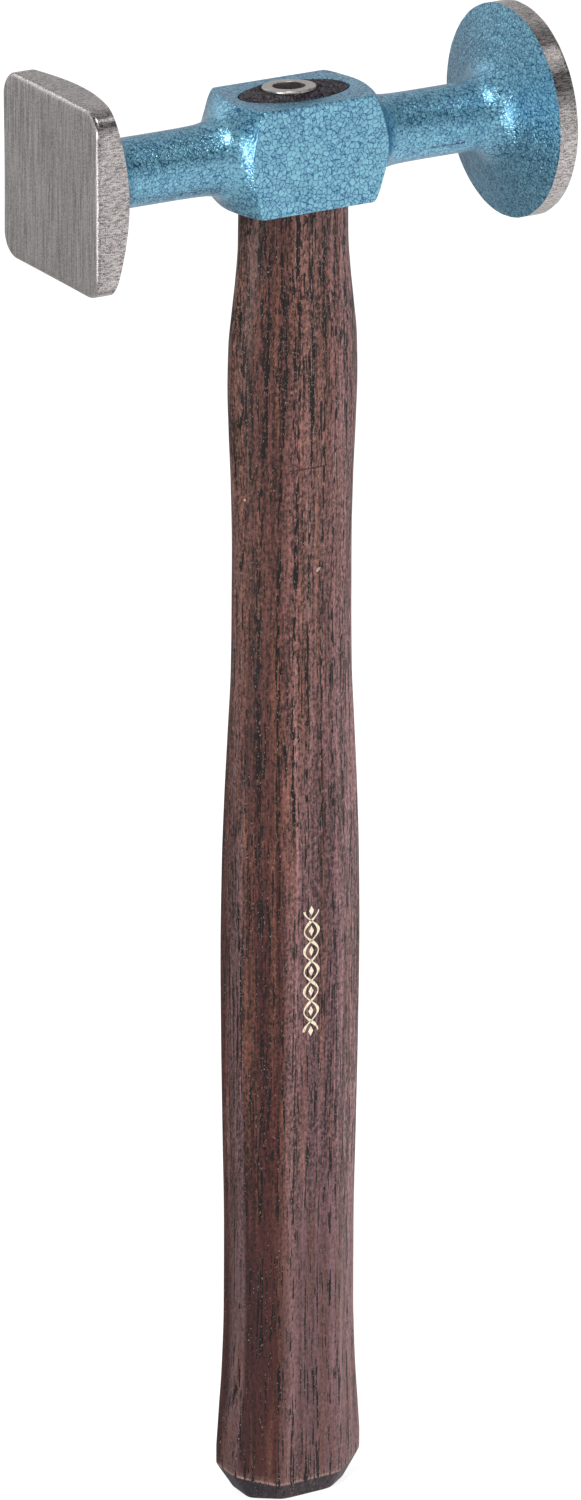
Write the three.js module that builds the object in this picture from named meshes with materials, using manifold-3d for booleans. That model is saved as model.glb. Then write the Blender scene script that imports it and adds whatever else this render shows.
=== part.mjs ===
// Planishing hammer for sheet metal: a one-piece forged head with a square and
// a round face, on a hickory handle that a steel ring wedge spreads in the eye.
// Millimetres, +Z up along the handle. The origin is the middle of the butt
// face, and the head lies along X with its square face towards -X.

import * as THREE from 'three';
import { mergeVertices } from 'three/addons/utils/BufferGeometryUtils.js';
import Module from 'manifold-3d';

const wasm = await Module();
wasm.setup();

// Clearance between touching pieces, and how far a cutter runs past its work.
const fitGap = 0.3;
const cutOverrun = 2;

// Head block, with the oval eye through it.
const hammerHeight = 320; // butt face to the block's top face
const blockHeight = 23.2;
const blockDepth = 21.7;
const blockHalfLength = 16.9; // from the handle's axis to a side face's end
const blockEdgeRadius = 0.9;
const blankDiameter = 32.6; // the turned blank that the block's flats are cut in
const eyeLength = 24.6;
const eyeWidth = 14.1;
const eyeShift = 0.6; // the eye lies this far towards the round face

// Necks, and the flares that join them to the faces.
const neckDiameter = 14.8;
const flareRadius = 7;

// Square face.
const squareReach = 58.6; // from the handle's axis to the square face
const squareSide = 40.4;
const squareCornerRadius = 5;
const squareThickness = 7.6; // at the middle of a side
const squareBackAngle = THREE.MathUtils.degToRad(24);
const squareBevel = 0.9;

// Round face, ground to a slight crown.
const roundReach = 56.2; // from the handle's axis to the round face's edge
const roundDiameter = 46.3;
const roundEdgeThickness = 4.5;
const roundBackAngle = THREE.MathUtils.degToRad(17.5);
const roundBevel = 0.4;
const roundCrown = 0.5;

// Handle: an oval neck that turns into an octagonal grip with a flared butt.
const gripWidth = 30.5; // along X at the belly
const gripDepth = 19.4; // along Y at the belly
const tenonRecess = 0.6; // the tenon's end lies this far below the block's top
const chamferSideHeight = 6.4; // of the butt's chamfer on the narrow sides
const chamferFrontHeight = 4.2; // and on the broad front and back
const buttWidth = 24.4;
const buttDepth = 16.6;
const cornerRounding = 0.6;

// Ring wedge, driven into the tenon's end.
const ringDiameter = 11.5;
const ringBore = 7;
const ringLength = 16;
const ringStandOut = 1.3; // above the block's top
const ringShift = -1.2; // along X, from the handle's axis
const ringBevel = 0.4;
const ringTipWall = 0.7;
const ringTaper = 0.5; // the ring's outside draws in by this much at its tip

// How finely the round shapes are drawn.
const turnedSides = 64;
const ringSides = 48;
const ovalSides = 48;
const cornerSteps = 4;
const flareSteps = 7;
const crownSteps = 4;

// The shoulder from the block to the neck, as [share of blockHalfLength, share
// of the radius that the blank has over the neck].
const shoulderShares = [
  [0.746, 1], [0.817, 0.921], [0.87, 0.787], [0.917, 0.618], [0.959, 0.494],
  [1, 0.388], [1.07, 0.24], [1.15, 0.138], [1.243, 0.075], [1.39, 0.03],
  [1.6, 0.007], [1.83, 0],
];

// Handle sections from the butt's chamfer up to the head, as [share of the
// grip's height, of gripWidth, of gripDepth, of the front's half width that is
// flat, and how oval the section is].
const gripShares = [
  [0.036, 1.065, 0.97, 0.49, 0], [0.066, 1.025, 0.955, 0.49, 0],
  [0.098, 0.98, 0.945, 0.48, 0], [0.147, 0.948, 0.935, 0.48, 0],
  [0.21, 0.945, 0.935, 0.47, 0], [0.29, 0.97, 0.96, 0.47, 0],
  [0.36, 0.99, 0.985, 0.47, 0], [0.43, 1, 1, 0.47, 0],
  [0.5, 0.985, 1, 0.46, 0.05], [0.55, 0.962, 0.98, 0.4, 0.2],
  [0.6, 0.935, 0.955, 0.36, 0.5], [0.65, 0.915, 0.92, 0.36, 0.85],
  [0.7, 0.918, 0.89, 0.36, 1], [0.74, 0.915, 0.885, 0.36, 1],
  [0.79, 0.935, 0.895, 0.36, 1], [0.83, 0.97, 0.91, 0.36, 1],
  [0.865, 0.992, 0.915, 0.36, 1], [0.895, 0.98, 0.9, 0.36, 1],
  [0.92, 0.93, 0.87, 0.36, 1], [0.945, 0.875, 0.82, 0.36, 1],
  [0.97, 0.838, 0.79, 0.36, 1], [1, 0.832, 0.785, 0.36, 1],
];
const sideFlatShare = 0.47;

const headHeight = hammerHeight - blockHeight / 2; // the head's axis
const underside = hammerHeight - blockHeight;
const gripTop = underside - fitGap;
const tenonTop = hammerHeight - tenonRecess;
const neckRadius = neckDiameter / 2;
const blankRadius = blankDiameter / 2;
const roundRadius = roundDiameter / 2;

// A closed geometry as a solid that can be joined and cut.
function solidOf(geometry) {
  const bare = geometry.index ? geometry.clone() : geometry;
  bare.deleteAttribute('normal');
  bare.deleteAttribute('uv');
  const merged = mergeVertices(bare, 1e-5);
  const { Mesh, Manifold } = wasm;
  return new Manifold(new Mesh({
    numProp: 3,
    vertProperties: new Float32Array(merged.attributes.position.array),
    triVerts: new Uint32Array(merged.index.array),
  }));
}

// A solid as a named mesh with its own material.
function meshOf(solid, name, look) {
  const { vertProperties, triVerts } = solid.getMesh();
  const geometry = new THREE.BufferGeometry();
  geometry.setAttribute('position', new THREE.BufferAttribute(vertProperties, 3));
  geometry.setIndex(new THREE.BufferAttribute(triVerts, 1));
  geometry.computeVertexNormals();
  const mesh = new THREE.Mesh(geometry, new THREE.MeshStandardMaterial(look));
  mesh.name = name;
  return mesh;
}

// A profile of [distance along X, radius] points turned about the head's axis.
function turnedAboutX(profile) {
  const points = profile.map(([along, radius]) => new THREE.Vector2(radius, along));
  const geometry = new THREE.LatheGeometry(points, turnedSides);
  geometry.rotateZ(-Math.PI / 2);
  geometry.translate(0, 0, headHeight);
  return solidOf(geometry);
}

// A rounded rectangle in the YZ plane, run along X between two places.
function barAlongX(depth, height, radius, from, to, bevel = 0) {
  const halfDepth = depth / 2 - bevel;
  const halfHeight = height / 2 - bevel;
  const corner = Math.max(radius - bevel, bevel / cornerSteps);
  const shape = new THREE.Shape();
  shape.absarc(halfHeight - corner, halfDepth - corner, corner, 0, Math.PI / 2);
  shape.absarc(corner - halfHeight, halfDepth - corner, corner, Math.PI / 2, Math.PI);
  shape.absarc(corner - halfHeight, corner - halfDepth, corner, Math.PI, 1.5 * Math.PI);
  shape.absarc(halfHeight - corner, corner - halfDepth, corner, 1.5 * Math.PI, 2 * Math.PI);
  const geometry = new THREE.ExtrudeGeometry(shape, {
    depth: to - from - 2 * bevel,
    curveSegments: cornerSteps,
    bevelEnabled: bevel > 0,
    bevelThickness: bevel,
    bevelSize: bevel,
    bevelSegments: 1,
  });
  geometry.translate(0, 0, from + bevel);
  geometry.rotateY(Math.PI / 2);
  geometry.translate(0, 0, headHeight);
  return solidOf(geometry);
}

// The flare between a neck and a face's back: an arc of flareRadius, then a
// cone that meets the back's edge. The points are [reach, radius], neck first.
function flarePoints(edgeReach, edgeRadius, backAngle) {
  const sweep = Math.PI / 2 - backAngle;
  const arcEnd = neckRadius + flareRadius * (1 - Math.cos(sweep));
  const coneStart = edgeReach - (edgeRadius - arcEnd) * Math.tan(backAngle);
  const arcStart = coneStart - flareRadius * Math.sin(sweep);
  const points = [];
  for (let step = 0; step <= flareSteps; step += 1) {
    const turn = (sweep * step) / flareSteps;
    points.push([
      arcStart + flareRadius * Math.sin(turn),
      neckRadius + flareRadius * (1 - Math.cos(turn)),
    ]);
  }
  points.push([edgeReach, edgeRadius]);
  return points;
}

// The shoulder's points as [reach, radius], block first.
const shoulderPoints = shoulderShares.map(([reachShare, radiusShare]) => [
  reachShare * blockHalfLength,
  neckRadius + radiusShare * (blankRadius - neckRadius),
]);

// The round face: bevelled edge and a slight crown, as [reach, radius] points.
function roundFacePoints() {
  const flatRadius = roundRadius - roundBevel;
  const points = [[roundReach - roundBevel, roundRadius]];
  for (let step = 0; step < crownSteps; step += 1) {
    const share = step / crownSteps;
    points.push([
      roundReach + roundCrown * (1 - (1 - share) ** 2),
      flatRadius * (1 - share),
    ]);
  }
  points.push([roundReach + roundCrown, 0]);
  return points;
}

// Head: one turned and forged body. The flats of the block and the sides of
// the square face are where the turned body leaves the bars it is made from.
function makeHead() {
  const squareBack = squareReach - squareThickness;
  const blankEdge = squareSide * Math.SQRT1_2;
  const squareEdge = squareBack + (blankEdge - squareSide / 2) * Math.tan(squareBackAngle);
  const squareFlare = flarePoints(squareEdge, blankEdge, squareBackAngle);
  const roundFlare = flarePoints(roundReach - roundEdgeThickness, roundRadius, roundBackAngle);
  const squareEnd = [...shoulderPoints, ...squareFlare]
    .map(([reach, radius]) => [-reach, radius])
    .reverse();
  const turned = turnedAboutX([
    [-squareReach - cutOverrun, 0],
    [-squareReach - cutOverrun, blankEdge],
    ...squareEnd,
    ...shoulderPoints,
    ...roundFlare,
    ...roundFacePoints(),
  ]);
  const barEnd = squareBack - 2 * flareRadius;
  const squareBar = barAlongX(
    squareSide, squareSide, squareCornerRadius,
    -squareReach, cutOverrun - barEnd, squareBevel,
  );
  const blockBar = barAlongX(blockDepth, blockHeight, blockEdgeRadius, -barEnd, barEnd);
  const roundBar = barAlongX(
    roundDiameter + cutOverrun, roundDiameter + cutOverrun, blockEdgeRadius,
    barEnd - cutOverrun, roundReach + roundCrown + cutOverrun,
  );
  const body = turned.intersect(squareBar.add(blockBar).add(roundBar));
  const eye = ovalPrism(
    eyeLength, eyeWidth, underside - cutOverrun, hammerHeight + cutOverrun,
  );
  return body.subtract(eye);
}

// An upright oval prism around the eye's axis.
function ovalPrism(length, width, from, to) {
  const shape = new THREE.Shape();
  shape.absellipse(eyeShift, 0, length / 2, width / 2, 0, 2 * Math.PI);
  const geometry = new THREE.ExtrudeGeometry(shape, {
    depth: to - from,
    curveSegments: ovalSides,
    bevelEnabled: false,
  });
  geometry.translate(0, 0, from);
  return solidOf(geometry);
}

// One handle section between an octagon and an oval, as [x, y] points. Each of
// the octagon's corners has two points cornerRounding apart, and each flat has
// one in its middle.
function gripSection(width, depth, frontShare, ovalness) {
  const halfWidth = width / 2;
  const halfDepth = depth / 2;
  const corners = [
    [halfWidth, sideFlatShare * halfDepth],
    [frontShare * halfWidth, halfDepth],
    [-frontShare * halfWidth, halfDepth],
    [-halfWidth, sideFlatShare * halfDepth],
    [-halfWidth, -sideFlatShare * halfDepth],
    [-frontShare * halfWidth, -halfDepth],
    [frontShare * halfWidth, -halfDepth],
    [halfWidth, -sideFlatShare * halfDepth],
  ].map(([x, y]) => new THREE.Vector2(x, y));
  const points = [];
  corners.forEach((corner, index) => {
    const before = corners[(index + 7) % 8];
    const after = corners[(index + 1) % 8];
    const toBefore = cornerRounding / corner.distanceTo(before);
    const toAfter = cornerRounding / corner.distanceTo(after);
    points.push(
      corner.clone().lerp(before, toBefore),
      corner.clone().lerp(after, toAfter),
      corner.clone().lerp(after, 0.5),
    );
  });
  return points.map((point) => {
    const reach = Math.hypot(point.x / halfWidth, point.y / halfDepth);
    const onOval = point.clone().divideScalar(reach);
    return point.lerp(onOval, ovalness).toArray();
  });
}

// A body through a stack of sections, each a ring of [x, y, z] points.
function loftOf(rings) {
  const sides = rings[0].length;
  const positions = rings.flat(2);
  const indices = [];
  rings.slice(1).forEach((ring, level) => {
    for (let side = 0; side < sides; side += 1) {
      const next = (side + 1) % sides;
      const low = level * sides;
      const high = low + sides;
      indices.push(low + side, low + next, high + next);
      indices.push(low + side, high + next, high + side);
    }
  });
  const top = (rings.length - 1) * sides;
  for (let side = 1; side < sides - 1; side += 1) {
    indices.push(0, side + 1, side);
    indices.push(top, top + side, top + side + 1);
  }
  const geometry = new THREE.BufferGeometry();
  geometry.setAttribute('position', new THREE.Float32BufferAttribute(positions, 3));
  geometry.setIndex(indices);
  return solidOf(geometry);
}

// Handle: grip, butt chamfer and the tenon in the eye, with the slot that the
// ring wedge has cut in the tenon's end.
function makeHandle() {
  const [, buttShare, buttDepthShare, buttFront, buttOval] = gripShares[0];
  const flare = gripSection(
    buttShare * gripWidth, buttDepthShare * gripDepth, buttFront, buttOval,
  );
  const frontEdge = (buttFront * buttShare * gripWidth) / 2;
  const sideEdge = (buttShare * gripWidth) / 2;
  const chamferTop = flare.map(([x, y]) => {
    const toSide = Math.max(0, (Math.abs(x) - frontEdge) / (sideEdge - frontEdge));
    const height = THREE.MathUtils.lerp(chamferFrontHeight, chamferSideHeight, toSide);
    return [x, y, height];
  });
  const buttFace = gripSection(buttWidth, buttDepth, buttFront, buttOval)
    .map(([x, y]) => [x, y, 0]);
  const grip = gripShares.map(([height, width, depth, frontShare, ovalness]) => (
    gripSection(width * gripWidth, depth * gripDepth, frontShare, ovalness)
      .map(([x, y]) => [x, y, height * gripTop])
  ));
  const body = loftOf([buttFace, chamferTop, ...grip]);
  const tenon = ovalPrism(
    eyeLength - 2 * fitGap, eyeWidth - 2 * fitGap, gripTop - cutOverrun, tenonTop,
  );
  const slot = ringBody(fitGap, cutOverrun);
  return body.add(tenon).subtract(slot);
}

// The ring wedge's body, grown by a clearance on every side and lengthened
// above the head by an overrun, which makes it the slot's cutter.
function ringBody(clearance, overrun) {
  const outside = ringDiameter / 2 + clearance;
  const inside = ringBore / 2 - clearance;
  const tipOutside = outside - ringTaper;
  const tipInside = tipOutside - ringTipWall - 2 * clearance;
  const top = hammerHeight + ringStandOut + overrun;
  const bottom = hammerHeight + ringStandOut - ringLength - clearance;
  const profile = [
    [inside + ringBevel / 2, top],
    [inside, top - ringBevel / 2],
    [tipInside, bottom],
    [tipOutside, bottom],
    [outside, top - ringBevel],
    [outside - ringBevel, top],
    [inside + ringBevel / 2, top],
  ];
  const points = profile.map(([radius, z]) => new THREE.Vector2(radius, z));
  const geometry = new THREE.LatheGeometry(points, ringSides);
  geometry.rotateX(Math.PI / 2);
  geometry.translate(ringShift, 0, 0);
  return solidOf(geometry);
}

const hammer = new THREE.Group();
hammer.name = 'planishing_hammer';
hammer.add(
  meshOf(makeHead(), 'head', { color: '#4f93b8', roughness: 0.4, metalness: 0.55 }),
  meshOf(makeHandle(), 'handle', { color: '#573c3a', roughness: 0.6, metalness: 0 }),
  meshOf(ringBody(0, 0), 'ring_wedge', { color: '#a59f99', roughness: 0.35, metalness: 1 }),
);

export default hammer;
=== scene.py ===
import math
import bpy
import numpy as np
from functools import partial
from mathutils import Matrix, Vector


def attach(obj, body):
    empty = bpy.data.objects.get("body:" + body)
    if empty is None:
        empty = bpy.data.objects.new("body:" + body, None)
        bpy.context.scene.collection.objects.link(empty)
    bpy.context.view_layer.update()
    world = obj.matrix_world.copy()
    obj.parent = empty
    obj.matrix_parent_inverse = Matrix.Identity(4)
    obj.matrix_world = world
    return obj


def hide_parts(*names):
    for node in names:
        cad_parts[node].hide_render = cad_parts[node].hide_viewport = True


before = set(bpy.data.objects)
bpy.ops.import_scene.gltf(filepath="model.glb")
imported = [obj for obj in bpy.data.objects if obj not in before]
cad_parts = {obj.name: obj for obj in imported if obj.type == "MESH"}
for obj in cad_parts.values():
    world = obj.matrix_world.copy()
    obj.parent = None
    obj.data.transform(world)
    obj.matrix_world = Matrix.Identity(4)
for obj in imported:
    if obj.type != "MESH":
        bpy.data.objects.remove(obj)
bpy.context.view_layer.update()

# A planishing hammer that stands on its butt: a forged head in hammertone
# paint with ground faces, a stained hickory handle and a steel ring wedge.
# Shapes are worked out in millimetres and become metres in addMesh.
millimetre = 0.001
scene = bpy.context.scene


def hexColour(code):
    # sRGB hex to the linear colour that a socket takes
    srgb = np.array([int(code[place:place + 2], 16) for place in (1, 3, 5)]) / 255
    linear = np.where(srgb > 0.04045, ((srgb + 0.055) / 1.055) ** 2.4, srgb / 12.92)
    return (*linear.tolist(), 1.0)


def addNode(tree, kind, inputs=(), out=0, stops=(), **settings):
    # Adds one node with its settings and links, and gives one of its outputs.
    # Inputs come in order or by name, each a value, a hex colour or another
    # node's output; stops fill a colour ramp with positions and colours.
    made = tree.nodes.new(f"ShaderNode{kind}")
    for name, value in settings.items():
        setattr(made, name, value)
    for place, (position, colour) in enumerate(stops):
        ramp = made.color_ramp.elements
        stop = ramp[place] if place < 2 else ramp.new(position)
        stop.position = position
        stop.color = hexColour(colour) if isinstance(colour, str) else colour
    for name, value in inputs.items() if isinstance(inputs, dict) else enumerate(inputs):
        if isinstance(value, bpy.types.NodeSocket):
            tree.links.new(value, made.inputs[name])
        else:
            value = hexColour(value) if isinstance(value, str) else value
            made.inputs[name].default_value = value
    return made.outputs[out] if len(made.outputs) else made


def startTree(holder):
    # Empties the nodes of a material or world and gives a node adder for them
    holder.use_nodes = True
    holder.node_tree.nodes.clear()
    return partial(addNode, holder.node_tree)


def startMaterial(name, noises):
    # A material, its node adder, the place on the piece in millimetres, that
    # place's three parts, and the layers of noise. Each noise is its cells per
    # millimetre, alike or along X, Y and Z, its detail and its roughness
    material = bpy.data.materials.new(name)
    add = startTree(material)
    place = add("TexCoord", out="Object")
    here = add("VectorMath", {0: place, "Scale": 1 / millimetre}, operation="SCALE")
    parts = [add("SeparateXYZ", [here], out=axis) for axis in range(3)]
    layers = {}
    for layer, (perMillimetre, detail, rough) in noises.items():
        perMillimetre = np.broadcast_to(perMillimetre, 3).tolist()
        drawn = add("VectorMath", [here, perMillimetre], operation="MULTIPLY")
        layers[layer] = add("TexNoise", {
            "Vector": drawn, "Scale": 1.0, "Detail": detail, "Roughness": rough,
        })
    return material, add, here, parts, layers


def layerSum(add, layers, total, shares):
    # A pattern: the total that it starts from, plus each layer times its share
    for name, share in shares.items():
        total = add("Math", [layers[name], share, total], operation="MULTIPLY_ADD")
    return total


def toneColour(add, layers, values):
    # The layers' sum by their weights, shown as a colour from dark to light
    tone = layerSum(add, layers, values["toneStart"], values["toneWeights"])
    return add("ValToRGB", [tone], stops=((0.0, values["dark"]), (1.0, values["light"])))


def fineLine(add, x, z, noise, line):
    # 1 on a fine line along X, else 0: between its ends, and where the height,
    # swayed by a noise, is within the line's half width
    (fromX, toX), height, halfWidth, sway = line
    waved = add("Math", [noise, sway, z], operation="MULTIPLY_ADD")
    onLine = add("Math", [waved, height + sway / 2, halfWidth], operation="COMPARE")
    inReach = add("Math", [x, (fromX + toX) / 2, (toX - fromX) / 2], operation="COMPARE")
    return add("Math", [onLine, inReach], operation="MULTIPLY")


def finishSurface(add, values, colour, roughness, height, inputs=()):
    # The surface's shader, in relief by a height times a depth in millimetres
    depth = values["reliefDepth"] * millimetre
    shader = add("BsdfPrincipled", {
        "Base Color": colour, "Metallic": values["metallic"], "Roughness": roughness,
        "Normal": add("Bump", {"Height": height, "Distance": depth}), **dict(inputs),
    })
    add("OutputMaterial", {"Surface": shader})


def addMesh(name, points, faces):
    # An object in the scene, from points in millimetres
    mesh = bpy.data.meshes.new(name)
    mesh.from_pydata((np.array(points) * millimetre).tolist(), [], faces)
    made = bpy.data.objects.new(name, mesh)
    scene.collection.objects.link(made)
    return made


# Camera at the photograph's angle, far away with a long lens.
cameraValues = {
    "turn": 30.5567,  # degrees to the left of the front
    "height": 20.5065,  # degrees above the horizon
    "roll": 0.25,  # degrees
    "away": 2.0,  # metres from the target
    "target": (-0.000107, 0.0, 0.172765),
    "lens": 223.176,
    "sensor": 36.0,
    "clip": (0.05, 50.0),
}


def makeCamera(values):
    # Back points from the target to the camera, right is level and up is back
    # times right; a small roll turns right and up
    turn, height, roll = (math.radians(values[k]) for k in ("turn", "height", "roll"))
    back = Vector((
        -math.sin(turn) * math.cos(height),
        -math.cos(turn) * math.cos(height),
        math.sin(height),
    ))
    right = Vector((math.cos(turn), -math.sin(turn), 0))
    up = back.cross(right)
    rolledRight = right * math.cos(roll) + up * math.sin(roll)
    rolledUp = up * math.cos(roll) - right * math.sin(roll)
    data = bpy.data.cameras.new("photoCamera")
    data.lens, data.sensor_width = values["lens"], values["sensor"]
    data.clip_start, data.clip_end = values["clip"]
    camera = bpy.data.objects.new("photoCamera", data)
    axes = Matrix((rolledRight, rolledUp, back)).transposed().to_4x4()
    place = Vector(values["target"]) + back * values["away"]
    camera.matrix_world = Matrix.Translation(place) @ axes
    scene.collection.objects.link(camera)
    scene.camera = camera


makeCamera(cameraValues)
print("camera made")

# Soft studio: two small softboxes on the left, a wider dim one on the right, a
# wide dim one behind, a pale backdrop all round that is darker above the front,
# and a white floor.
studioValues = {
    "softboxes": {  # direction from the head, width in metres, watts
        "upperLeft": ((-0.25, -0.39, 0.88), 0.14, 8.5),
        "farLeft": ((-0.92, -0.37, -0.05), 0.14, 6.6),
        "upperRight": ((0.476, -0.35, 0.807), 0.3, 0.6),
        "upperBack": ((-0.33, 0.81, 0.46), 0.6, 1.2),
    },
    "softboxAway": 1.25,
    "softboxTarget": (0.0, 0.0, 0.3),
    # Below the horizon: level, change to the right, back, up, and by right times up
    "lowerBackdrop": (0.65, 0.42, -0.38, -0.45, -0.2),
    # Above it: back from and to, and the level there from and to
    "upperBackdrop": (-0.05, 0.4, 0.14, 0.78),
    "horizonBand": (-0.1, 0.2),
    "horizonLean": 0.3,  # the horizon lies lower at the back
    "glossyShare": 0.75,  # how much of the backdrop metal and gloss see
    "floorHalf": 3000.0,
    "floorDiffuse": 0.42,
    "floorGlow": 0.86,
}


def makeSoftboxes(values):
    # Round area lamps at one distance from the head, each turned towards it
    target = Vector(values["softboxTarget"])
    for name, (direction, width, watts) in values["softboxes"].items():
        away = Vector(direction).normalized()
        data = bpy.data.lights.new(name, "AREA")
        data.shape, data.size, data.energy = "DISK", width, watts
        lamp = bpy.data.objects.new(name, data)
        lamp.location = target + away * values["softboxAway"]
        lamp.rotation_euler = away.to_track_quat("Z", "Y").to_euler()
        scene.collection.objects.link(lamp)


def makeBackdrop(values):
    # The camera sees plain white. All other rays see a pale backdrop: below the
    # horizon its level is a sum of shares of right, back, up and right times up,
    # and above it the level over the front goes over to that over the back
    world = bpy.data.worlds.new("paleBackdrop")
    add = startTree(world)
    direction = add("TexCoord", out="Generated")
    right, back, up = (add("SeparateXYZ", [direction], out=axis) for axis in range(3))
    slant = add("Math", [right, up], operation="MULTIPLY")
    lower, *changes = values["lowerBackdrop"]
    for part, change in zip((right, back, up, slant), changes):
        lower = add("Math", [part, change, lower], operation="MULTIPLY_ADD")
    lean = add("Math", [back, values["horizonLean"], up], operation="MULTIPLY_ADD")
    upper, share = (
        add("MapRange", [part, *values[name]], interpolation_type="SMOOTHSTEP")
        for part, name in ((back, "upperBackdrop"), (lean, "horizonBand"))
    )
    level = add("Mix", {0: share, 2: lower, 3: upper}, data_type="FLOAT")
    seesMirror = add("LightPath", out="Is Glossy Ray")
    dimmed = add("Mix", {
        0: seesMirror, 2: 1.0, 3: values["glossyShare"],
    }, data_type="FLOAT")
    level = add("Math", [level, dimmed], operation="MULTIPLY")
    seesCamera = add("LightPath", out="Is Camera Ray")
    level = add("Mix", {0: seesCamera, 2: level, 3: 1.0}, data_type="FLOAT")
    glow = add("Background", {"Color": "#ffffff", "Strength": level})
    add("OutputWorld", {"Surface": glow})
    scene.world = world


def makeFloor(values):
    # A pale floor that glows a little, so that the camera sees it white apart
    # from the shadow. The object is lit by the backdrop through it.
    half = values["floorHalf"]
    corners = [(-half, -half, 0), (half, -half, 0), (half, half, 0), (-half, half, 0)]
    floor = addMesh("floor", corners, [(0, 1, 2, 3)])
    material = bpy.data.materials.new("paleSweep")
    add = startTree(material)
    matt = add("BsdfDiffuse", {"Color": (*[values["floorDiffuse"]] * 3, 1)})
    glow = add("Emission", {"Color": "#ffffff", "Strength": values["floorGlow"]})
    lit = add("AddShader", [matt, glow])
    clear = add("BsdfTransparent", {"Color": "#ffffff"})
    seesCamera = add("LightPath", out="Is Camera Ray")
    surface = add("MixShader", [seesCamera, clear, lit])
    add("OutputMaterial", {"Surface": surface})
    floor.data.materials.append(material)


makeSoftboxes(studioValues)
makeBackdrop(studioValues)
makeFloor(studioValues)
scene.view_settings.view_transform = "Standard"
print("studio made")


def smoothThrough(points, at):
    # Monotone cubic through points (x, y): each inner slope is the harmonic
    # mean of the slopes of its two neighbours, so the curve never overshoots
    x, y = np.array(points, float).T
    step, rise = np.diff(x), np.diff(y) / np.diff(x)
    slope = np.concatenate([rise[:1], rise[:-1] + rise[1:], rise[-1:]])
    product = rise[:-1] * rise[1:]
    sameWay = product > 0
    slope[1:-1] = np.where(sameWay, 2 * product / np.where(sameWay, slope[1:-1], 1), 0)
    at = np.clip(at, x[0], x[-1])
    place = np.clip(np.searchsorted(x, at, side="right") - 1, 0, len(x) - 2)
    t = (at - x[place]) / step[place]
    return (
        y[place] * (1 + 2 * t) * (1 - t) ** 2
        + y[place + 1] * t * t * (3 - 2 * t)
        + step[place] * t * (1 - t) * (slope[place] * (1 - t) - slope[place + 1] * t)
    )


def turnedCorner(start, corner, end, rows):
    # Quadratic Bezier from start to end, pulled towards the corner
    t = np.linspace(0, 1, rows)[:, None, None]
    return start * (1 - t) ** 2 + 2 * corner * t * (1 - t) + end * t * t


def ovalPoints(angle, centre, halfLength, halfWidth, height):
    # An upright oval; equal half sizes give a circle
    x = centre + halfLength * np.cos(angle)
    y = halfWidth * np.sin(angle)
    return np.stack(np.broadcast_arrays(x, y, height), -1)


def evenAngles(columns):
    # Even turns round a whole circle
    return np.linspace(0, 2 * math.pi, columns, endpoint=False)


def closedGrid(rows):
    # Faces of a closed skin over rows of points: quads between neighbouring
    # rows, and a fan to one point at either end. Returns points and faces.
    count, columns = rows.shape[:2]
    points = np.concatenate([
        rows[0].mean(0)[None], rows.reshape(-1, 3), rows[-1].mean(0)[None],
    ])
    index = 1 + np.arange(count * columns).reshape(count, columns)
    after = np.roll(index, -1, axis=1)
    quads = np.stack([index[:-1], after[:-1], after[1:], index[1:]], -1)
    first = np.stack([np.zeros(columns, int), after[0], index[0]], -1)
    last = np.stack([np.full(columns, len(points) - 1), index[-1], after[-1]], -1)
    return points, [*first.tolist(), *quads.reshape(-1, 4).tolist(), *last.tolist()]


def loopedGrid(rows):
    # Faces of a ring-shaped skin, whose last row joins its first
    count, columns = rows.shape[:2]
    index = np.arange(count * columns).reshape(count, columns)
    across, along = np.roll(index, -1, axis=1), np.roll(index, -1, axis=0)
    quads = np.stack([index, along, np.roll(across, -1, axis=0), across], -1)
    return rows.reshape(-1, 3), quads.reshape(-1, 4).tolist()


def smoothAll(mesh, sharpAngle=40):
    # Smooth shading, apart from edges sharper than an angle in degrees
    mesh.shade_smooth()
    mesh.set_sharp_from_angle(angle=math.radians(sharpAngle))


def addPiece(name, points, faces, material, node, slotName):
    # A smooth piece from points in millimetres, riding on the root body
    piece = addMesh(name, points, faces)
    piece.data.update()
    smoothAll(piece.data)
    piece.data.materials.append(material)
    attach(piece, "root")
    if node:
        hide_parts(node)
    return piece


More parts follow.
